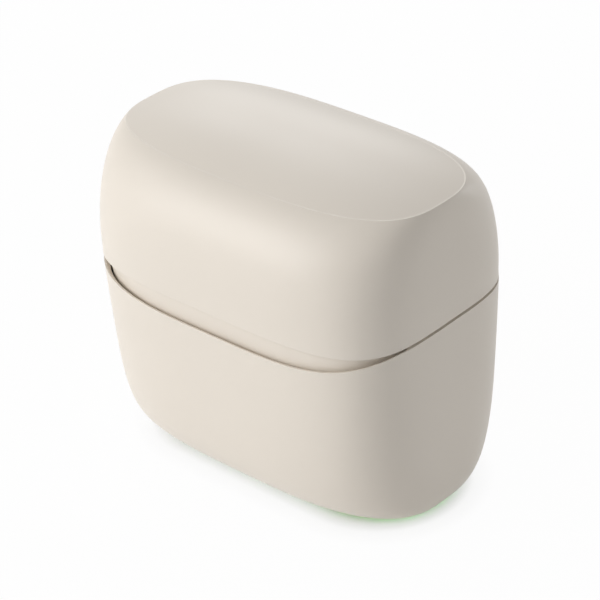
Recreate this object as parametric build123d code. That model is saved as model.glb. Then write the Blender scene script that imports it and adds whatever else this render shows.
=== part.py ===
from build123d import *
import os
from math import cos, pi, sin

# Charging case for two hearing aids: a rounded block with a hinged lid.
# X runs along the long front, -Y is the front with the finger scoop, Z is up.
# The origin is under the middle of the case, on the surface that it stands on.

# Outside of the case, between its widest points
case_width = 80.0
case_depth = 54.0
shell_bottom = 1.6
seam_height = 45.0
rim_height = 71.8

# Lean of the walls from the widest points down to the bottom
end_lean = 1.1
side_lean = 1.25

# Belly: how far the bottom edge curls in, and over what height
end_belly_in = 3.0
end_belly_height = 8.0
side_belly_in = 17.6
side_belly_height = 24.5
belly_power = 3.3
belly_reach = 0.985

# Shoulder: how far the lid curls in to its oval rim, and over what height
end_shoulder_in = 2.0
end_shoulder_height = 7.2
side_shoulder_in = 15.3
side_shoulder_height = 19.1
shoulder_power = 2.46
shoulder_reach = 0.95

# Squareness of the plan: 2 is an ellipse, higher is a squarer outline
bottom_squareness = 3.15
seam_squareness = 4.1
rim_squareness = 2.95
squareness_blend = 1.5

# Walls and rims
wall = 2.0
base_floor = 2.0
roof = 2.6
lip_wall = 0.9
lip_height = 7.0
lid_lip_height = 2.2
seam_gap = 0.55

# Low crown on top of the lid, inside its oval rim
crown_rise = 2.8
crown_power = 2.6
crown_middle = 0.12
crown_land = 0.25

# Finger scoop in the front rim of the base
scoop_drop = 4.25
scoop_half_width = 39.0
scoop_power = 3.8
scoop_start = 12.0

# Edges of both rims: the rounding of the lid, and the step that thins the rim of the base
lid_rounding = 0.25
rim_edge = 0.35
rim_step = 0.9

# Inner collar behind the scoop
collar_gap = 0.3
collar_thickness = 1.6
collar_rise = 1.0
collar_ledge = 1.3
deck_recess = 2.8

# Hinge at the back
hinge_from_skin = 2.2
barrel_radius = 2.3
groove_radius = 3.4
hinge_half_length = 23.5
lid_knuckle_half = 11.5
pin_radius = 0.8
pin_clearance = 0.05
knuckle_gap = 0.3
leaf_thickness = 1.6
base_leaf_height = 14.0
lid_leaf_height = 9.0
leaf_gap = 0.1
leaf_slot_gap = 0.3
groove_end_gap = 0.4
relief_radius = 2.2
relief_half_length = 30.5

# Deck with its wells and the middle recess
deck_thickness = 2.0
fit_gap = 0.15
well_offset = 24.0
well_width = 11.0
well_length = 23.6
well_depth = 16.0
cradle_wall = 1.2
cradle_flange = 1.2
cradle_flange_thickness = 0.8
middle_width = 21.0
middle_length = 30.0
middle_depth = 9.0
middle_wall = 1.4

# Charging coils under the wells
coil_outer = 5.2
coil_inner = 2.4
coil_thickness = 1.5
ferrite_thickness = 0.8

# Magnets that hold the lid shut
magnet_radius = 2.5
magnet_height = 4.0
magnet_offset = 10.0
magnet_wall = 0.9
magnet_skin = 1.0
magnet_set_back = 0.2

# Lid liner and its soft pads
liner_gap = 0.35
liner_rise_gap = 0.6
liner_roof_gap = 0.7
liner_thickness = 1.4
pad_thickness = 4.0
pad_width = 9.0
pad_length = 15.0

# Bottom stack: rubber foot, plate, light ring and its board
window_from_end = 2.6
window_from_side = 1.2
foot_margin = 2.6
plate_thickness = 2.0
plate_rise = 0.3
ring_gap = 0.2
ring_width = 2.0
ring_height = 2.4
ring_flange = 1.5
ring_flange_thickness = 0.8
light_board_thickness = 0.8
light_board_overhang = 1.0
led_size = 1.6
led_height = 0.9
led_count = 10

# Support frame, main board and what stands on it
frame_bottom = 7.6
frame_thickness = 1.6
frame_gap = 0.4
frame_screw_bite = 2.6
shell_boss_from_end = 10.4
shell_boss_from_side = 3.8
shell_boss_radius = 2.6
plate_boss_from_end = 9.1
plate_boss_from_side = 6.1
plate_boss_radius = 2.4
board_boss_from_end = 5.0
board_boss_from_side = 12.8
board_boss_radius = 2.4
board_bottom = 12.0
board_thickness = 1.2
board_end_gap = 3.1
board_side_gap = 0.8
screw_radius = 1.0
screw_head_radius = 1.9
screw_head_height = 1.2
screw_hole_gap = 0.05
head_gap = 0.2

# Chips on the main board
chip_size = 7.0
chip_height = 1.2
small_chip = 3.2
chip_spacing = 9.0

# Charging socket at the back
socket_width = 8.94
socket_height = 3.2
socket_length = 7.4
socket_wall = 0.3
socket_gap = 0.15
socket_roundness = 0.45
socket_set_back = 0.2
tongue_width = 6.7
tongue_thickness = 0.7
tongue_length = 5.2

# Battery
battery_width = 46.0
battery_depth = 30.0
battery_height = 6.0
battery_pad_height = 3.3
battery_pad_width = 8.0
battery_pad_x = 16.0
battery_edge = 2.4

# Light pipes beside the wells
pipe_radius = 1.1
pipe_gap = 0.05
pipe_proud = 0.1
pipe_from_skin = 8.0
status_led_height = 0.8

# Places that follow from the sizes above
belly_top = shell_bottom + side_belly_height
shoulder_bottom = rim_height - side_shoulder_height
lid_bottom = seam_height + seam_gap
hinge_height = seam_height + seam_gap / 2
collar_skin = lip_wall + collar_gap
collar_inside = collar_skin + collar_thickness
deck_top = seam_height - deck_recess
deck_bottom = deck_top - deck_thickness
cradle_bottom = deck_top - well_depth - cradle_wall
coil_bottom = cradle_bottom - coil_thickness
plate_bottom = shell_bottom + plate_rise
plate_top = plate_bottom + plate_thickness
ring_top = plate_bottom + ring_height
board_top = board_bottom + board_thickness
frame_top = frame_bottom + frame_thickness
battery_bottom = board_top + battery_pad_height
liner_bottom = seam_height + collar_rise + liner_rise_gap
liner_skin = wall + liner_gap
liner_ceiling = roof + liner_roof_gap
leaf_inner = lid_knuckle_half + knuckle_gap
section_points = 32
skin_share = 0.985
crown_sections = 8
crown_spacing = 1.3


def curl(progress, power):
    """How far an edge has curled in, from 0 where it starts to 1 at its end."""
    progress = max(0.0, min(1.0, progress))
    return 1 - (1 - progress**power) ** (1 / power)


def half_sizes(height, inset=0.0, floor=0.0, ceiling=0.0):
    """Half width and half depth at a height, moved in by a wall, up by a floor and down by a ceiling."""
    above_bottom = height - shell_bottom
    below_rim = rim_height - height
    lean = max(0.0, 1 - above_bottom / (shoulder_bottom - shell_bottom))

    def belly(amount, tall):
        return amount * curl(belly_reach * (1 - (above_bottom - floor) / tall), belly_power)

    def shoulder(amount, tall):
        return amount * curl(shoulder_reach * (1 - (below_rim - ceiling) / tall), shoulder_power)

    half_width = case_width / 2 - inset - end_lean * lean
    half_width -= belly(end_belly_in, end_belly_height)
    half_width -= shoulder(end_shoulder_in, end_shoulder_height)
    half_depth = case_depth / 2 - inset - side_lean * lean
    half_depth -= belly(side_belly_in, side_belly_height)
    half_depth -= shoulder(side_shoulder_in, side_shoulder_height)
    return half_width, half_depth


def squareness(height):
    """Squareness of the plan at a height: squarest at the seam, rounder above and below."""
    if height > seam_height:
        share = (height - seam_height) / (rim_height - seam_height)
        far = rim_squareness
    else:
        share = (seam_height - height) / (seam_height - shell_bottom)
        far = bottom_squareness
    share = min(1.0, share) ** squareness_blend
    return seam_squareness + (far - seam_squareness) * share


def oval_point(half_width, half_depth, power, turn):
    """Point of a superellipse, where turn runs from 0 to 2 pi."""
    reach = (abs(cos(turn)) ** power + abs(sin(turn)) ** power) ** (-1 / power)
    return half_width * reach * cos(turn), half_depth * reach * sin(turn)


def outline(half_width, half_depth, power, height):
    """Closed superellipse at a height."""
    turns = [2 * pi * step / section_points for step in range(section_points)]
    points = [(*oval_point(half_width, half_depth, power, turn), height) for turn in turns]
    return Wire(Spline(*points, periodic=True))


def case_outline(height, inset=0.0, floor=0.0, ceiling=0.0):
    """Outline of the case at a height, moved in by a wall."""
    return outline(*half_sizes(height, inset, floor, ceiling), squareness(height), height)


def case_form(heights, inset=0.0, floor=0.0, ceiling=0.0):
    """Solid that fills the case between the first and last height."""
    return Solid.make_loft([case_outline(height, inset, floor, ceiling) for height in heights])


def slab(half_width, half_depth, power, low, high):
    """Upright plate with a superellipse outline."""
    face = Face(outline(half_width, half_depth, power, low))
    return Solid.extrude(face, Vector(0, 0, high - low))


def stadium(width, length, low, high, x=0.0, y=0.0):
    """Upright block with fully rounded ends, long along Y."""
    sketch = Pos(x, y, low) * SlotOverall(length, width, rotation=90)
    return extrude(sketch, amount=high - low)


def peg(radius, low, high, x, y):
    """Upright cylinder."""
    return Pos(x, y, (low + high) / 2) * Cylinder(radius, high - low)


def block(x_low, x_high, y_low, y_high, z_low, z_high):
    """Upright box between its corners."""
    centre = ((x_low + x_high) / 2, (y_low + y_high) / 2, (z_low + z_high) / 2)
    return Pos(*centre) * Box(x_high - x_low, y_high - y_low, z_high - z_low)


def rod(radius, x_low, x_high, y, z):
    """Cylinder along X."""
    return Pos((x_low + x_high) / 2, y, z) * Rot(0, 90, 0) * Cylinder(radius, x_high - x_low)


def steps_up(low, high, count, power=1.0):
    """Heights from low to high, closer together near low when power is over 1."""
    return [low + (high - low) * (step / count) ** power for step in range(count + 1)]


def steps_down(low, high, count, power=1.0):
    """Heights from low to high, closer together near high when power is over 1."""
    return [high - (high - low) * (1 - step / count) ** power for step in range(count + 1)]


def base_heights(low, high):
    """Heights of the sections of the base, close together where the belly curls in."""
    return steps_up(low, belly_top, 10, 1.6) + steps_up(belly_top, high, 5)[1:]


def lid_heights(low, high):
    """Heights of the sections of the lid, close together where the shoulder curls in."""
    start = high - side_shoulder_height
    lower = steps_up(low, start, 2)[:-1] if start - low > 1 else []
    return lower + steps_down(max(low, start), high, 12, 1.6)


def four(x, y):
    """Four places, mirrored about both middle planes."""
    return [(sx * x, sy * y) for sx in (-1, 1) for sy in (-1, 1)]


def screw(x, y, head_low, shank_far):
    """Screw with its head above or below its shank, as shank_far says."""
    head_high = head_low + screw_head_height
    if shank_far > head_high:
        shank = peg(screw_radius, head_high, shank_far, x, y)
    else:
        shank = peg(screw_radius, shank_far, head_low, x, y)
    return peg(screw_head_radius, head_low, head_high, x, y) + shank


def join(solids):
    """Several separate solids in one part."""
    return Compound(children=[piece for solid in solids for piece in solid.solids()])


# Places that follow from the skin of the case
back_skin = half_sizes(seam_height)[1]
hinge_y = back_skin - hinge_from_skin
magnet_y = collar_inside + collar_ledge + fit_gap + magnet_wall + magnet_radius - back_skin
pipe_y = pipe_from_skin - back_skin
socket_z = board_top + socket_height / 2
socket_mouth = half_sizes(socket_z)[1] - socket_set_back
window_half_width = half_sizes(shell_bottom)[0] - window_from_end
window_half_depth = half_sizes(shell_bottom)[1] - window_from_side
plate_half_width = window_half_width - ring_width - 2 * ring_gap
plate_half_depth = window_half_depth - ring_width - 2 * ring_gap
plate_boss_x = plate_half_width - plate_boss_from_end
plate_boss_y = plate_half_depth - plate_boss_from_side
shell_boss_x = half_sizes(frame_bottom, wall, base_floor)[0] - shell_boss_from_end
shell_boss_y = half_sizes(frame_bottom, wall, base_floor)[1] - shell_boss_from_side
board_half_width = half_sizes(board_bottom, wall, base_floor)[0] - board_end_gap
board_half_depth = half_sizes(board_bottom, wall, base_floor)[1] - board_side_gap
board_boss_x = board_half_width - board_boss_from_end
board_boss_y = board_half_depth - board_boss_from_side


def scoop_cutter():
    """Block over the front rim, with a curved underside that makes the finger scoop."""
    count = 16
    points = []
    for step in range(count + 1):
        x = scoop_half_width * (2 * step / count - 1)
        drop = scoop_drop * (1 - abs(x / scoop_half_width) ** scoop_power)
        points.append((x, -scoop_start, seam_height - drop))
    top = seam_height + scoop_drop
    right_corner = (scoop_half_width, -scoop_start, top)
    left_corner = (-scoop_half_width, -scoop_start, top)
    corners = [points[-1], right_corner, left_corner, points[0]]
    sides = [Line(first, second) for first, second in zip(corners, corners[1:])]
    return Solid.extrude(Face(Wire([Spline(*points), *sides])), Vector(0, -case_depth, 0))


def skin_edges(solid, low, high):
    """Long edges of a solid that lie on the skin of the case between two heights."""
    chosen = []
    for edge in solid.edges():
        points = [edge.position_at(step / 5) for step in range(6)]
        if edge.length > 3 and all(low < point.Z < high and on_skin(point) for point in points):
            chosen.append(edge)
    return chosen


def on_skin(point):
    """Whether a point lies on the outside of the case."""
    half_width, half_depth = half_sizes(point.Z)
    power = squareness(point.Z)
    return abs(point.X / half_width) ** power + abs(point.Y / half_depth) ** power > skin_share


def socket_block(width, height, y_low, y_high):
    """Block along Y with round edges, centred on the charging socket."""
    body = block(-width / 2, width / 2, y_low, y_high, socket_z - height / 2, socket_z + height / 2)
    return fillet(body.edges().filter_by(Axis.Y), height * socket_roundness)


def hinge_groove():
    """Room round the barrels, with a slimmer relief for the corner of the lid beyond their ends."""
    end = hinge_half_length + groove_end_gap
    return [rod(groove_radius, -end, end, hinge_y, hinge_height),
            rod(relief_radius, -relief_half_length, relief_half_length, hinge_y, hinge_height)]


def hinge_leaf(x_low, x_high, z_low, z_high, floor, ceiling):
    """Leaf that follows the back wall, with its barrel, bored for the pin."""
    inset = wall + leaf_gap
    leaf = back_band(inset + leaf_thickness, inset, x_low, x_high, z_low, z_high, floor, ceiling)
    barrel = rod(barrel_radius, x_low, x_high, hinge_y, hinge_height)
    return leaf + barrel - rod(pin_radius + pin_clearance, x_low - 1, x_high + 1, hinge_y, hinge_height)


def back_band(inner_inset, outer_inset, x_low, x_high, z_low, z_high, floor=0.0, ceiling=0.0):
    """Piece of a band that follows the back wall between two insets."""
    band = case_form(steps_up(z_low, z_high, 4), outer_inset, floor, ceiling)
    band -= case_form(steps_up(z_low - 1, z_high + 1, 4), inner_inset, floor, ceiling)
    return band & block(x_low, x_high, 0, case_depth, z_low, z_high)


def base_leaf_spans(gap):
    """Stretches of X that the two base leaves take, each widened by a gap."""
    low = leaf_inner - gap
    high = hinge_half_length + gap
    return [(-high, -low), (low, high)]


def base_shell():
    """Outer shell of the base, open at the top and with a window underneath."""
    outer = case_form(base_heights(shell_bottom, seam_height))
    cavity = case_form(base_heights(shell_bottom + base_floor, seam_height + 1), wall, base_floor)
    places = four(shell_boss_x, shell_boss_y)
    bosses = [peg(shell_boss_radius, shell_bottom, frame_bottom, x, y) for x, y in places]
    bores = [peg(screw_radius + screw_hole_gap, frame_bottom - frame_screw_bite, frame_top, x, y)
             for x, y in places]
    lip = case_form([seam_height - lip_height, seam_height + 1], lip_wall)
    window = slab(window_half_width, window_half_depth, bottom_squareness, 0, ring_top)
    hole = socket_block(socket_width + 2 * socket_gap, socket_height + 2 * socket_gap,
                        socket_mouth - socket_length / 2, case_depth)
    shell = outer - [cavity - bosses, lip, scoop_cutter(), window, *hinge_groove(), hole] - bores
    thinned = case_form([seam_height - lip_height, seam_height + 1], rim_edge)
    return shell - (thinned & Pos(0, 0, -rim_step) * scoop_cutter())


def inner_collar():
    """Band inside the rim that shows through the finger scoop and carries the deck."""
    low = seam_height - lip_height
    high = seam_height + collar_rise
    band = case_form([low, high], collar_skin) - case_form([low - 1, high + 1], collar_inside)
    ledge = case_form([deck_bottom - collar_ledge, deck_bottom], collar_skin + collar_thickness / 2)
    ledge -= case_form([low - 1, high + 1], collar_inside + collar_ledge)
    slot_inside = collar_inside + 2 * collar_ledge
    slots = [back_band(slot_inside, wall + leaf_gap - fit_gap, x_low, x_high, low - 1, high + 1)
             for x_low, x_high in base_leaf_spans(leaf_slot_gap)]
    return band + ledge - [hinge_groove()[0], *slots]


def charging_deck():
    """Deck inside the collar: two openings for the cradles and a recess for the ear tips."""
    deck = case_form([deck_bottom, deck_top], collar_inside + fit_gap)
    cup = stadium(middle_width + 2 * middle_wall, middle_length + 2 * middle_wall,
                  deck_top - middle_depth - middle_wall, deck_bottom)
    recess = stadium(middle_width, middle_length, deck_top - middle_depth, deck_top + 1)
    wells = [stadium(well_width + 2 * cradle_wall + 2 * fit_gap, well_length + 2 * cradle_wall + 2 * fit_gap,
                     deck_bottom - 1, deck_top + 1, x) for x in (-well_offset, well_offset)]
    magnet_top = deck_top - magnet_skin
    bosses = [peg(magnet_radius + magnet_wall, magnet_top - magnet_height, deck_bottom, x, magnet_y)
              for x in (-magnet_offset, magnet_offset)]
    pockets = [peg(magnet_radius + pin_clearance, magnet_top - magnet_height - 1, magnet_top, x, magnet_y)
               for x in (-magnet_offset, magnet_offset)]
    pipes = [peg(pipe_radius + pipe_gap, deck_bottom - 1, deck_top + 1, x, pipe_y)
             for x in (-well_offset, well_offset)]
    leaf_inside = wall + leaf_gap + leaf_thickness + fit_gap
    notches = [back_band(leaf_inside, 0, low, high, deck_bottom - 1, deck_top + 1)
               for low, high in base_leaf_spans(leaf_slot_gap)]
    return (deck + [cup, *bosses]) - [recess, *wells, *pockets, *pipes, *notches]


def cradle(x):
    """Charging well for one hearing aid, hung in the deck by its flange."""
    cup = stadium(well_width + 2 * cradle_wall, well_length + 2 * cradle_wall, cradle_bottom, deck_top, x)
    grown = 2 * (cradle_wall + cradle_flange)
    flange_top = deck_top + cradle_flange_thickness
    rim = stadium(well_width + grown, well_length + grown, deck_top, flange_top, x)
    hollow = stadium(well_width, well_length, deck_top - well_depth, flange_top + 1, x)
    return cup + rim - hollow


def coil(x):
    """Flat charging coil glued under a cradle."""
    return (peg(coil_outer, coil_bottom, cradle_bottom, x, 0)
            - peg(coil_inner, coil_bottom - 1, cradle_bottom + 1, x, 0))


def coil_ferrites():
    """Ferrite discs that close the field under both coils."""
    return join([peg(coil_outer, coil_bottom - ferrite_thickness, coil_bottom, x, 0)
                 for x in (-well_offset, well_offset)])


def light_pipe(x):
    """Clear rod that brings a status light from the main board up to the deck."""
    return peg(pipe_radius, board_top + status_led_height, deck_top + pipe_proud, x, pipe_y)


def status_leds():
    """Lights on the main board under the light pipes."""
    return join([block(x - led_size / 2, x + led_size / 2, pipe_y - led_size / 2, pipe_y + led_size / 2,
                       board_top, board_top + status_led_height) for x in (-well_offset, well_offset)])


def main_board():
    """Circuit board on the standoffs of the support frame."""
    board = slab(board_half_width, board_half_depth, squareness(board_bottom), board_bottom, board_top)
    return board - [peg(screw_radius + screw_hole_gap, board_bottom - 1, board_top + 1, x, y)
                    for x, y in four(board_boss_x, board_boss_y)]


def board_chips():
    """Charge controller, coil drivers and power parts on the board."""
    driver_x = (battery_pad_x - battery_pad_width / 2) / 2
    places = [(0, 0, chip_size)]
    places += [(x, y, small_chip) for x in (-driver_x, driver_x) for y in (-chip_spacing, chip_spacing)]
    high = board_top + chip_height
    return join([block(x - size / 2, x + size / 2, y - size / 2, y + size / 2, board_top, high)
                 for x, y, size in places])


def usb_socket():
    """Metal shell of the charging socket, closed at its inner end."""
    inner = socket_mouth - socket_length
    shell = socket_block(socket_width, socket_height, inner, socket_mouth)
    return shell - socket_block(socket_width - 2 * socket_wall, socket_height - 2 * socket_wall,
                                inner + socket_wall, socket_mouth + 1)


def socket_tongue():
    """Contact tongue in the middle of the charging socket."""
    inner = socket_mouth - socket_length + socket_wall
    return block(-tongue_width / 2, tongue_width / 2, inner, inner + tongue_length,
                 socket_z - tongue_thickness / 2, socket_z + tongue_thickness / 2)


def battery_cell():
    """Pouch cell that charges the hearing aids away from the wall."""
    cell = block(-battery_width / 2, battery_width / 2, -battery_depth / 2, battery_depth / 2,
                 battery_bottom, battery_bottom + battery_height)
    return fillet(cell.edges().filter_by(Axis.X), battery_edge)


def battery_pads():
    """Foam strips between the battery and the main board."""
    half_depth = battery_depth / 2 - battery_edge
    return join([block(x - battery_pad_width / 2, x + battery_pad_width / 2, -half_depth, half_depth,
                       board_top, battery_bottom) for x in (-battery_pad_x, battery_pad_x)])


def support_frame():
    """Moulded plate in the belly that ties the bottom plate, the shell and the main board together."""
    plate = case_form([frame_bottom, frame_top], wall + frame_gap, base_floor)
    plate_bosses = four(plate_boss_x, plate_boss_y)
    board_bosses = four(board_boss_x, board_boss_y)
    hole = screw_radius + screw_hole_gap
    added = [peg(plate_boss_radius, plate_top, frame_bottom, x, y) for x, y in plate_bosses]
    added += [peg(board_boss_radius, frame_top, board_bottom, x, y) for x, y in board_bosses]
    holes = [peg(hole, plate_top - 1, frame_top + 1, x, y) for x, y in plate_bosses]
    holes += [peg(hole, frame_top, board_bottom + 1, x, y) for x, y in board_bosses]
    holes += [peg(hole, frame_bottom - 1, frame_top + 1, x, y) for x, y in four(shell_boss_x, shell_boss_y)]
    return plate + added - holes


def light_ring():
    """Clear ring in the window of the shell, which throws green light onto the table."""
    inner = (plate_half_width + ring_gap, plate_half_depth + ring_gap)
    outer = (window_half_width - ring_gap, window_half_depth - ring_gap)
    flange_top = ring_top + ring_flange_thickness
    body = slab(*outer, bottom_squareness, plate_bottom, ring_top)
    flange = slab(outer[0] + ring_flange, outer[1] + ring_flange, bottom_squareness, ring_top, flange_top)
    return body + flange - slab(*inner, bottom_squareness, plate_bottom - 1, flange_top + 1)


def light_board():
    """Ring-shaped board that carries the lights over the light ring."""
    outer_margin = light_board_overhang - ring_gap
    inner_margin = ring_gap - light_board_overhang
    low = frame_bottom - light_board_thickness
    board = slab(window_half_width + outer_margin, window_half_depth + outer_margin, bottom_squareness,
                 low, frame_bottom)
    return board - slab(plate_half_width + inner_margin, plate_half_depth + inner_margin, bottom_squareness,
                        low - 1, frame_bottom + 1)


def ring_leds():
    """Green lights under the light board, evenly turned round the ring."""
    half_width = plate_half_width + ring_gap + ring_width / 2
    half_depth = plate_half_depth + ring_gap + ring_width / 2
    high = frame_bottom - light_board_thickness
    leds = []
    for step in range(led_count):
        x, y = oval_point(half_width, half_depth, bottom_squareness, 2 * pi * (step + 0.5) / led_count)
        leds.append(block(x - led_size / 2, x + led_size / 2, y - led_size / 2, y + led_size / 2,
                          high - led_height, high))
    return join(leds)


def bottom_plate():
    """Plate in the window of the shell, screwed up to the support frame."""
    plate = slab(plate_half_width, plate_half_depth, bottom_squareness, plate_bottom, plate_top)
    holes = []
    sink = plate_bottom + screw_head_height
    for x, y in four(plate_boss_x, plate_boss_y):
        holes.append(peg(screw_radius + screw_hole_gap, plate_bottom - 1, plate_top + 1, x, y))
        holes.append(peg(screw_head_radius + head_gap, plate_bottom - 1, sink, x, y))
    return plate - holes


def foot_pad():
    """Rubber pad under the bottom plate, which the case stands on."""
    half_width = plate_half_width - foot_margin
    half_depth = plate_half_depth - foot_margin
    return slab(half_width, half_depth, bottom_squareness, 0, plate_bottom)


def base_hinge_leaf(span):
    """One of the two fixed leaves at the back, with its knuckle."""
    return hinge_leaf(*span, hinge_height - base_leaf_height, hinge_height, base_floor, 0)


def lid_hinge_leaf():
    """Leaf inside the back of the lid, with the middle knuckle."""
    high = hinge_height + lid_leaf_height
    return hinge_leaf(-lid_knuckle_half, lid_knuckle_half, hinge_height, high, 0, roof)


def crown(inset=0.0, drop=0.0):
    """Low crown over the rim of the lid, moved in by a wall and down by a roof."""
    half_width, half_depth = half_sizes(rim_height, inset + crown_land)
    rings = []
    for scale in reversed(steps_down(crown_middle, 1, crown_sections, crown_spacing)):
        height = rim_height - drop + crown_rise * (1 - scale**crown_power)
        rings.append(outline(scale * half_width, scale * half_depth, rim_squareness, height))
    return Solid.make_loft(rings)


def lid_shell():
    """Outer shell of the lid, with a crease round its crowned top."""
    outer = case_form(lid_heights(lid_bottom, rim_height)) + crown()
    cavity = case_form(lid_heights(seam_height - 1, rim_height - roof), wall, 0, roof) + crown(wall, roof)
    lip = case_form([seam_height - 1, seam_height + lid_lip_height], lip_wall)
    shell = outer - [cavity, lip, *hinge_groove()]
    return fillet(skin_edges(shell, seam_height, lid_bottom + seam_gap), lid_rounding)


def lid_liner():
    """Inner lining of the lid, with pockets for its magnets at the front."""
    outer = case_form(lid_heights(liner_bottom, rim_height - liner_ceiling), liner_skin, 0, liner_ceiling)
    inner_ceiling = liner_ceiling + liner_thickness
    inner_heights = lid_heights(liner_bottom - 1, rim_height - inner_ceiling)
    inner = case_form(inner_heights, liner_skin + liner_thickness, 0, inner_ceiling)
    magnet_low = liner_bottom + magnet_set_back
    magnet_top = magnet_low + magnet_height
    radius = magnet_radius + magnet_wall
    low = liner_bottom - 1
    high = magnet_top + magnet_skin
    bosses = []
    for x in (-magnet_offset, magnet_offset):
        bosses.append(peg(radius, low, high, x, magnet_y))
        bosses.append(block(x - radius, x + radius, -case_depth, magnet_y, low, high))
    pockets = [peg(magnet_radius + pin_clearance, low, magnet_top, x, magnet_y)
               for x in (-magnet_offset, magnet_offset)]
    window_half = lid_knuckle_half + leaf_slot_gap
    leaf_window = block(-window_half, window_half, 0, case_depth, low,
                        hinge_height + lid_leaf_height + leaf_slot_gap)
    return outer - [inner - bosses, *pockets, leaf_window, hinge_groove()[0]]


def hold_pad(x):
    """Soft pad on the ceiling of the lid that keeps a hearing aid in its well."""
    high = rim_height - liner_ceiling - liner_thickness
    return stadium(pad_width, pad_length, high - pad_thickness, high, x)


def magnets(low):
    """Pair of magnets at the front, in the deck or in the lid."""
    return join([peg(magnet_radius, low, low + magnet_height, x, magnet_y)
                 for x in (-magnet_offset, magnet_offset)])


parts = {
    "base_shell": base_shell(),
    "inner_collar": inner_collar(),
    "charging_deck": charging_deck(),
    "left_cradle": cradle(-well_offset),
    "right_cradle": cradle(well_offset),
    "left_coil": coil(-well_offset),
    "right_coil": coil(well_offset),
    "coil_ferrites": coil_ferrites(),
    "left_light_pipe": light_pipe(-well_offset),
    "right_light_pipe": light_pipe(well_offset),
    "status_leds": status_leds(),
    "main_board": main_board(),
    "board_chips": board_chips(),
    "board_screws": join([screw(x, y, board_top, frame_top + head_gap)
                          for x, y in four(board_boss_x, board_boss_y)]),
    "usb_socket": usb_socket(),
    "socket_tongue": socket_tongue(),
    "battery_cell": battery_cell(),
    "battery_pads": battery_pads(),
    "support_frame": support_frame(),
    "frame_screws": join([screw(x, y, frame_top, frame_bottom - frame_screw_bite + head_gap)
                          for x, y in four(shell_boss_x, shell_boss_y)]),
    "light_board": light_board(),
    "ring_leds": ring_leds(),
    "light_ring": light_ring(),
    "bottom_plate": bottom_plate(),
    "base_screws": join([screw(x, y, plate_bottom, frame_top - head_gap)
                         for x, y in four(plate_boss_x, plate_boss_y)]),
    "foot_pad": foot_pad(),
    "left_hinge_leaf": base_hinge_leaf(base_leaf_spans(0)[0]),
    "right_hinge_leaf": base_hinge_leaf(base_leaf_spans(0)[1]),
    "hinge_pin": rod(pin_radius, -hinge_half_length, hinge_half_length, hinge_y, hinge_height),
    "base_magnets": magnets(deck_top - magnet_skin - magnet_height),
    "lid_shell": lid_shell(),
    "lid_liner": lid_liner(),
    "left_hold_pad": hold_pad(-well_offset),
    "right_hold_pad": hold_pad(well_offset),
    "lid_hinge_leaf": lid_hinge_leaf(),
    "lid_magnets": magnets(liner_bottom + magnet_set_back),
}

os.makedirs("parts", exist_ok=True)
for name, part in parts.items():
    export_step(part, f"parts/{name}.step")
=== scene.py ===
import bpy
from math import cos, pi, radians, sin
from mathutils import Matrix, Vector


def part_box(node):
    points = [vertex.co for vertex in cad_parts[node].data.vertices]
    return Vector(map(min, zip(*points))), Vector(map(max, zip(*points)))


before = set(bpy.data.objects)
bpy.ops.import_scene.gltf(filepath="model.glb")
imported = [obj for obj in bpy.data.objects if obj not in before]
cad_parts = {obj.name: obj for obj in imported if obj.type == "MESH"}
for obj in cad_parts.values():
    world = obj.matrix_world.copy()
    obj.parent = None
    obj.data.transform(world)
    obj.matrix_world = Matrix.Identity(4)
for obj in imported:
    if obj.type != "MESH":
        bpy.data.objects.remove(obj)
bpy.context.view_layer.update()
bpy.ops.object.select_all(action="DESELECT")
mm = 0.001

# The camera stands in front of the right end, above the case, with a long lens.
# The view is turned a little, as the photograph is.
view_azimuth = radians(43.31)
view_elevation = radians(31.27)
view_roll = radians(-3.44)
view_distance = 500 * mm
view_aim = Vector((0, 0, 35.9 * mm))
camera_data = bpy.data.cameras.new("camera")
camera_data.sensor_width = 36
camera_data.lens = 144.98
camera = bpy.data.objects.new("camera", camera_data)
bpy.context.scene.collection.objects.link(camera)
bpy.context.scene.camera = camera
view_back = Vector((sin(view_azimuth) * cos(view_elevation),
                    -cos(view_azimuth) * cos(view_elevation),
                    sin(view_elevation)))
view_turn = (-view_back).to_track_quat("-Z", "Y").to_matrix() @ Matrix.Rotation(view_roll, 3, "Z")
camera.matrix_world = Matrix.Translation(view_aim + view_back * view_distance) @ view_turn.to_4x4()

# The foot is a black rubber pad glued under the bottom plate.
# It is moulded with a fine pebbled grain that grips the table.
foot_colour = (0.022, 0.022, 0.024, 1)
foot_grain = 0.5 * mm


class Tone:
    """A value that changes over a surface: a shader socket, which sums and products extend."""

    def __init__(self, tree, socket=None):
        self.tree = tree
        self.socket = socket

    def node(self, kind, values, output=0, stops=(), **settings):
        """Add a node with its settings, its ramp's stops and the values or links of its sockets."""
        made = self.tree.nodes.new(kind)
        for name, setting in settings.items():
            setattr(made, name, setting)
        if stops:
            ramp = made.color_ramp.elements
            while len(ramp) < len(stops):
                ramp.new(1)
            for element, (position, colour) in zip(ramp, stops):
                element.position = position
                element.color = colour
        for name, value in values.items():
            if isinstance(value, Tone):
                self.tree.links.new(value.socket, made.inputs[name])
            else:
                made.inputs[name].default_value = value
        return Tone(self.tree, made.outputs[output])

    def __add__(self, other):
        return self.node("ShaderNodeMath", {0: self, 1: other}, operation="ADD")

    def __mul__(self, other):
        return self.node("ShaderNodeMath", {0: self, 1: other}, operation="MULTIPLY")

    __radd__ = __add__


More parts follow.
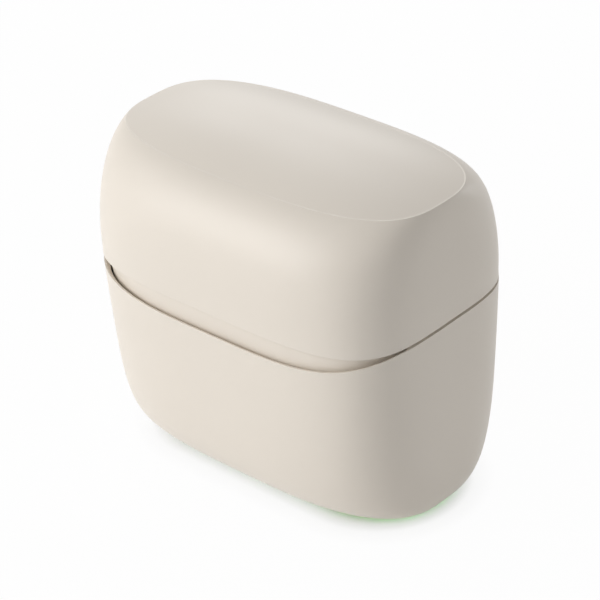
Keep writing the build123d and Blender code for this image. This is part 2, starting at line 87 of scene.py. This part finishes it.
class Finish:
    """A material with its Principled shader, and the Object coordinates that its patterns follow."""

    def __init__(self, name, **shine):
        self.material = bpy.data.materials.new(name)
        self.material.use_nodes = True
        self.tree = self.material.node_tree
        self.shader = self.tree.nodes["Principled BSDF"]
        for socket, value in shine.items():
            self.shader.inputs[socket.replace("_", " ").title().replace("Ior", "IOR")].default_value = value
        self.place = Tone(self.tree).node("ShaderNodeTexCoord", {}, output="Object")

    def noise(self, size, detail=2.0):
        """Soft clouds of about a size."""
        return self.place.node("ShaderNodeTexNoise", {
            "Vector": self.place, "Scale": 1 / size, "Detail": detail})

    def mix(self, share, first, second):
        """Blend of two colours."""
        return share.node("ShaderNodeMix", {0: share, 6: first, 7: second}, output=2, data_type="RGBA")

    def feed(self, socket, tone):
        """Let a value drive a socket of the shader."""
        self.tree.links.new(tone.socket, self.shader.inputs[socket])

    def bump(self, height, depth):
        """Raise the surface by a height that runs from 0 to 1."""
        self.feed("Normal", height.node("ShaderNodeBump", {
            "Height": height, "Distance": depth, "Strength": 1.0}))

    def dress(self, *nodes):
        """Give this material to carried-over pieces."""
        for node in nodes:
            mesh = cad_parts[node].data
            mesh.materials.clear()
            mesh.materials.append(self.material)


def moulded(name, colour, roughness, grain, depth, clouds=9 * mm, fade=0.06, **shine):
    """Moulded plastic or rubber, with faint clouds in its colour and a fine grain that breaks its gloss."""
    finish = Finish(name, **shine)
    grit = finish.noise(grain, 3.0)
    cloud = finish.noise(clouds, 4.0)
    pale = tuple(min(1.0, part * (1 + fade)) for part in colour[:3]) + (1,)
    deep = tuple(part * (1 - fade) for part in colour[:3]) + (1,)
    finish.feed("Base Color", finish.mix(cloud * 0.7 + grit * 0.3, deep, pale))
    finish.feed("Roughness", roughness - 0.05 + grit * 0.06 + cloud * 0.04)
    finish.bump(grit, depth)
    return finish


moulded("foot_rubber", foot_colour, 0.78, foot_grain, 0.05 * mm, fade=0.2).dress("foot_pad")

# The bottom plate closes the window of the shell, and four small screws hold it up to the frame.
# Both are black glass-filled plastic with a coarse spark-eroded grain.
plate_colour = (0.028, 0.028, 0.031, 1)
plate_black = moulded("frame_black", plate_colour, 0.6, 0.25 * mm, 0.03 * mm, fade=0.15)
plate_black.dress("bottom_plate", "support_frame")

# All the screws are zinc-plated steel, a little cloudy from the plating and finely scratched.
# The shell of the charging socket and the hinge pin have the same finish.
steel = Finish("screw_steel", metallic=1.0)
steel_marks = steel.noise(0.12 * mm, 3.0)
steel_clouds = steel.noise(2.5 * mm, 3.0)
steel.feed("Base Color", steel.mix(steel_clouds, (0.42, 0.42, 0.43, 1), (0.62, 0.61, 0.59, 1)))
steel.feed("Roughness", 0.22 + steel_marks * 0.18)
steel.bump(steel_marks, 0.01 * mm)
steel.dress("base_screws", "frame_screws", "board_screws", "usb_socket", "hinge_pin")

# The light ring is clear moulded plastic in the belly, lit green from above by ten small lights.
# Its glow is a little uneven along the ring, and shows as a thin green line on the table.
ring_light = (0.22, 0.80, 0.12, 1)
ring_dim = (0.13, 0.62, 0.07, 1)
ring = Finish("clear_light", roughness=0.25, transmission_weight=0.3, ior=1.49, emission_strength=1.25)
ring_cloud = ring.noise(6 * mm, 2.0)
ring_frost = ring.noise(0.3 * mm, 2.0)
ring.feed("Base Color", ring.mix(ring_frost, (0.55, 0.80, 0.50, 1), (0.70, 0.92, 0.62, 1)))
ring.feed("Emission Color", ring.mix(ring_cloud, ring_dim, ring_light))
ring.bump(ring_frost, 0.01 * mm)
ring.dress("light_ring")

# The ten lights of the ring stand under the light board.
# Each is a tiny white package with a green glow.
led = Finish("led_green", roughness=0.3, emission_strength=4.0)
led_cloud = led.noise(0.8 * mm, 2.0)
led.feed("Base Color", led.mix(led_cloud, (0.70, 0.72, 0.62, 1), (0.86, 0.88, 0.80, 1)))
led.feed("Emission Color", led.mix(led_cloud, (0.05, 0.60, 0.03, 1), (0.15, 0.95, 0.08, 1)))
led.dress("ring_leds")

# The boards are green solder mask over copper, with traces that run under the mask
# and small tinned pads. The light board is a ring over the lights, the main board fills the case.
mask_green = (0.012, 0.13, 0.045, 1)
trace_green = (0.03, 0.24, 0.085, 1)
pad_tin = (0.62, 0.60, 0.52, 1)
lane_spacing = 6 * mm
tin_spacing = 3.4 * mm
tin_edge = 0.17
tin_middle = 0.13
board = Finish("board_green", coat_weight=0.25, coat_roughness=0.2)
board_weave = board.noise(0.3 * mm, 2.0)
board_lanes = board.place.node("ShaderNodeTexBrick", {
    "Vector": board.place, "Scale": 1 / lane_spacing, "Mortar Size": 0.028, "Mortar Smooth": 0.1,
    "Color1": (0, 0, 0, 1), "Color2": (0, 0, 0, 1), "Mortar": (1, 1, 1, 1)}, output="Color")
board_pads = board.place.node("ShaderNodeTexVoronoi", {
    "Vector": board.place, "Scale": 1 / tin_spacing, "Randomness": 0.35}, output="Distance")
board_dots = board_pads.node("ShaderNodeMapRange", {
    "Value": board_pads, "From Min": tin_edge, "From Max": tin_middle}, clamp=True)
board_mask = board.mix(board_lanes, mask_green, trace_green)
board.feed("Base Color", board.mix(board_dots, board_mask, pad_tin))
board.feed("Metallic", board_dots * 0.9)
board.feed("Roughness", 0.36 + board_weave * 0.12)
board.bump(board_lanes * 0.5 + board_dots * 0.5 + board_weave * 0.1, 0.03 * mm)
board.dress("main_board", "light_board")

# The chips are black epoxy packages, matt from their mould.
# The contact tongue of the socket has the same black finish.
chip_colour = (0.016, 0.016, 0.017, 1)
chip_black = moulded("chip_black", chip_colour, 0.55, 0.12 * mm, 0.01 * mm, fade=0.3)
chip_black.dress("board_chips", "socket_tongue")

# The battery is a pouch cell in laminated aluminium foil, creased a little all over.
# It lies on two strips of black foam that keep it off the board.
foil = Finish("battery_silver", metallic=0.9)
foil_creases = foil.noise(3.2 * mm, 5.0)
foil_grain = foil.noise(0.2 * mm, 2.0)
foil.feed("Base Color", foil.mix(foil_creases, (0.50, 0.51, 0.54, 1), (0.74, 0.75, 0.77, 1)))
foil.feed("Roughness", 0.26 + foil_grain * 0.16)
foil.bump(foil_creases, 0.18 * mm)
foil.dress("battery_cell")
foam_cell = 0.6 * mm
foam = Finish("foam_black")
foam_cells = foam.place.node("ShaderNodeTexVoronoi", {
    "Vector": foam.place, "Scale": 1 / foam_cell}, output="Distance")
foam.feed("Base Color", foam.mix(foam_cells, (0.008, 0.008, 0.008, 1), (0.035, 0.035, 0.036, 1)))
foam.feed("Roughness", 0.85 + foam_cells * 0.1)
foam.bump(foam_cells, 0.12 * mm)
foam.dress("battery_pads")

# The charging coils are flat spirals of enamelled copper wire, each backed by a grey ferrite disc.
# Their turns run round the middle of each well. A ring wave of scale 1 repeats every 2 pi / 20.
coil_turn = 0.4 * mm
coil_wave_scale = 2 * pi / (20 * coil_turn)
ferrite_colour = (0.07, 0.07, 0.075, 1)
for side in ("left", "right"):
    coil_low, coil_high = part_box(side + "_coil")
    coil_x = (coil_low[0] + coil_high[0]) / 2
    copper = Finish(side + "_coil_copper", metallic=1.0)
    middle = copper.place.node("ShaderNodeMapping", {"Vector": copper.place, "Location": (-coil_x, 0, 0)})
    turns = middle.node("ShaderNodeTexWave", {"Vector": middle, "Scale": coil_wave_scale},
                        output="Fac", wave_type="RINGS", rings_direction="Z")
    copper.feed("Base Color", copper.mix(turns, (0.30, 0.09, 0.03, 1), (0.80, 0.36, 0.16, 1)))
    copper.feed("Roughness", 0.30 + copper.noise(1.2 * mm) * 0.14)
    copper.bump(turns, 0.15 * mm)
    copper.dress(side + "_coil")
moulded("ferrite_grey", ferrite_colour, 0.7, 0.15 * mm, 0.02 * mm, fade=0.2).dress("coil_ferrites")

# The two wells are black soft-touch plastic, and hang in the charging deck by their flanges.
# The deck and the lining of the lid are satin graphite plastic.
cradle_colour = (0.018, 0.018, 0.020, 1)
deck_colour = (0.050, 0.051, 0.055, 1)
cradle_black = moulded("cradle_graphite", cradle_colour, 0.52, 0.18 * mm, 0.015 * mm, fade=0.15)
cradle_black.dress("left_cradle", "right_cradle")
graphite = moulded("inner_graphite", deck_colour, 0.42, 0.22 * mm, 0.02 * mm, fade=0.1)
graphite.dress("charging_deck", "lid_liner")

# A clear rod beside each well brings a status light up from the main board to the deck.
# The rods and the lights under them glow a soft green, as the ring does.
pipe = Finish("pipe_clear", roughness=0.2, ior=1.49, transmission_weight=0.4, emission_strength=0.6)
pipe_cloud = pipe.noise(0.7 * mm, 2.0)
pipe.feed("Base Color", pipe.mix(pipe_cloud, (0.60, 0.80, 0.55, 1), (0.78, 0.92, 0.70, 1)))
pipe.feed("Emission Color", pipe.mix(pipe_cloud, ring_dim, ring_light))
pipe.dress("left_light_pipe", "right_light_pipe", "status_leds")

# The magnets that hold the lid shut are nickel-plated discs in two pairs.
# The plating is bright, with a faint haze.
nickel = Finish("magnet_nickel", metallic=1.0)
nickel_haze = nickel.noise(0.8 * mm, 4.0)
nickel.feed("Base Color", nickel.mix(nickel_haze, (0.56, 0.54, 0.50, 1), (0.74, 0.72, 0.68, 1)))
nickel.feed("Roughness", 0.14 + nickel_haze * 0.14)
nickel.dress("base_magnets", "lid_magnets")

# The shells of base and lid and the collar between them are satin cream plastic.
# The mould leaves a very fine even grain, and the colour is all but even.
cream_colour = (0.80, 0.735, 0.650, 1)
cream = moulded("shell_cream", cream_colour, 0.42, 0.16 * mm, 0.004 * mm, clouds=14 * mm, fade=0.012)
cream.dress("base_shell", "lid_shell", "inner_collar")
cream.dress("left_hinge_leaf", "right_hinge_leaf", "lid_hinge_leaf")

# Two soft rubber pads are glued to the lining of the lid.
# They keep the hearing aids in their wells while the lid is shut.
pad_colour = (0.060, 0.060, 0.064, 1)
hold_rubber = moulded("pad_rubber", pad_colour, 0.7, 0.4 * mm, 0.05 * mm, fade=0.15)
hold_rubber.dress("left_hold_pad", "right_hold_pad")

# The case stands on a plain white table that runs on behind it as a white background.
# Close to the foot the table shows its shadow and the green glow of the ring.
# Further off it fades to white, the same for what is seen straight, mirrored or through clear plastic.
floor_half = 3.0
bpy.ops.mesh.primitive_plane_add(size=2 * floor_half, location=(0, 0, 0))
floor = bpy.context.object
floor.name = "floor"
white = Finish("table_white", roughness=0.6)
white.feed("Base Color", white.mix(white.noise(3 * mm), (0.86, 0.86, 0.86, 1), (0.88, 0.88, 0.88, 1)))
glow_half_width = 20 * mm
sides = white.place.node("ShaderNodeVectorMath", {0: white.place}, operation="ABSOLUTE")
beyond = sides.node("ShaderNodeVectorMath", {
    0: sides, 1: (glow_half_width, 0, 0)}, operation="SUBTRACT")
outside = beyond.node("ShaderNodeVectorMath", {0: beyond, 1: (0, 0, 0)}, operation="MAXIMUM")
away = outside.node("ShaderNodeVectorMath", {0: outside}, output="Value", operation="LENGTH")
glow_reach = 24 * mm
fade_to_white = [(0.62, 0.0), (0.71, 0.5), (0.82, 0.88), (1.0, 0.97)]
white_share = away.node("ShaderNodeValToRGB", {"Fac": away * (1 / glow_reach)}, output="Color", stops=[
    (reach, (share, share, share, 1)) for reach, share in fade_to_white])
straight = white.place.node("ShaderNodeLightPath", {}, output="Is Camera Ray")
mirrored = Tone(white.tree, straight.socket.node.outputs["Is Glossy Ray"])
through = Tone(white.tree, straight.socket.node.outputs["Is Transmission Ray"])
ray = white.place.node("ShaderNodeMath", {0: straight + mirrored + through, 1: 1.0}, operation="MINIMUM")
backdrop = white.place.node("ShaderNodeEmission", {"Color": (1, 1, 1, 1), "Strength": 1.0})
lit = Tone(white.tree, white.shader.outputs[0])
table = lit.node("ShaderNodeMixShader", {0: white_share * ray, 1: lit, 2: backdrop})
white.tree.links.new(table.socket, white.tree.nodes["Material Output"].inputs["Surface"])
floor.data.materials.append(white.material)

# The background and the light of the room are white.
# The room lights the case only softly, though it shows in full where it is seen or mirrored.
room_light = 0.38
world = bpy.data.worlds.new("room")
bpy.context.scene.world = world
world.use_nodes = True
room = Tone(world.node_tree)
direct = room.node("ShaderNodeLightPath", {}, output="Is Camera Ray")
glossy = Tone(room.tree, direct.socket.node.outputs["Is Glossy Ray"])
clear = Tone(room.tree, direct.socket.node.outputs["Is Transmission Ray"])
seen = room.node("ShaderNodeMath", {0: direct + glossy + clear, 1: 1.0}, operation="MINIMUM")
strength = room_light + seen * (1 - room_light)
world.node_tree.nodes["Background"].inputs["Color"].default_value = (1, 1, 1, 1)
world.node_tree.links.new(strength.socket, world.node_tree.nodes["Background"].inputs["Strength"])
bpy.context.scene.view_settings.view_transform = "Standard"

# A large soft lamp stands low in front, a little to the left. Smaller ones hang over the left end
# and the back left, where they brighten the top, and one behind the right end draws its bright edge.
lamp_distance = 0.8


def softbox(name, azimuth, elevation, width, height, power):
    """Rectangular soft lamp aimed at the case. Azimuth 0 is in front and 90 is at the right end."""
    turn = radians(azimuth)
    lift = radians(elevation)
    reach = Vector((sin(turn) * cos(lift), -cos(turn) * cos(lift), sin(lift)))
    data = bpy.data.lights.new(name, "AREA")
    data.shape = "RECTANGLE"
    data.size = width
    data.size_y = height
    data.energy = power
    lamp = bpy.data.objects.new(name, data)
    bpy.context.scene.collection.objects.link(lamp)
    lamp.location = view_aim + reach * lamp_distance
    lamp.rotation_euler = (-reach).to_track_quat("-Z", "Y").to_euler()


softbox("key_lamp", -28, 20, 0.5, 0.5, 3.3)
softbox("left_lamp", -50, 45, 0.4, 0.4, 0.5)
softbox("back_left_lamp", -125, 46, 0.3, 0.3, 0.35)
softbox("low_back_lamp", -140, 25, 0.3, 0.3, 0.9)
softbox("rim_lamp", 160, 5, 0.25, 0.4, 1.0)
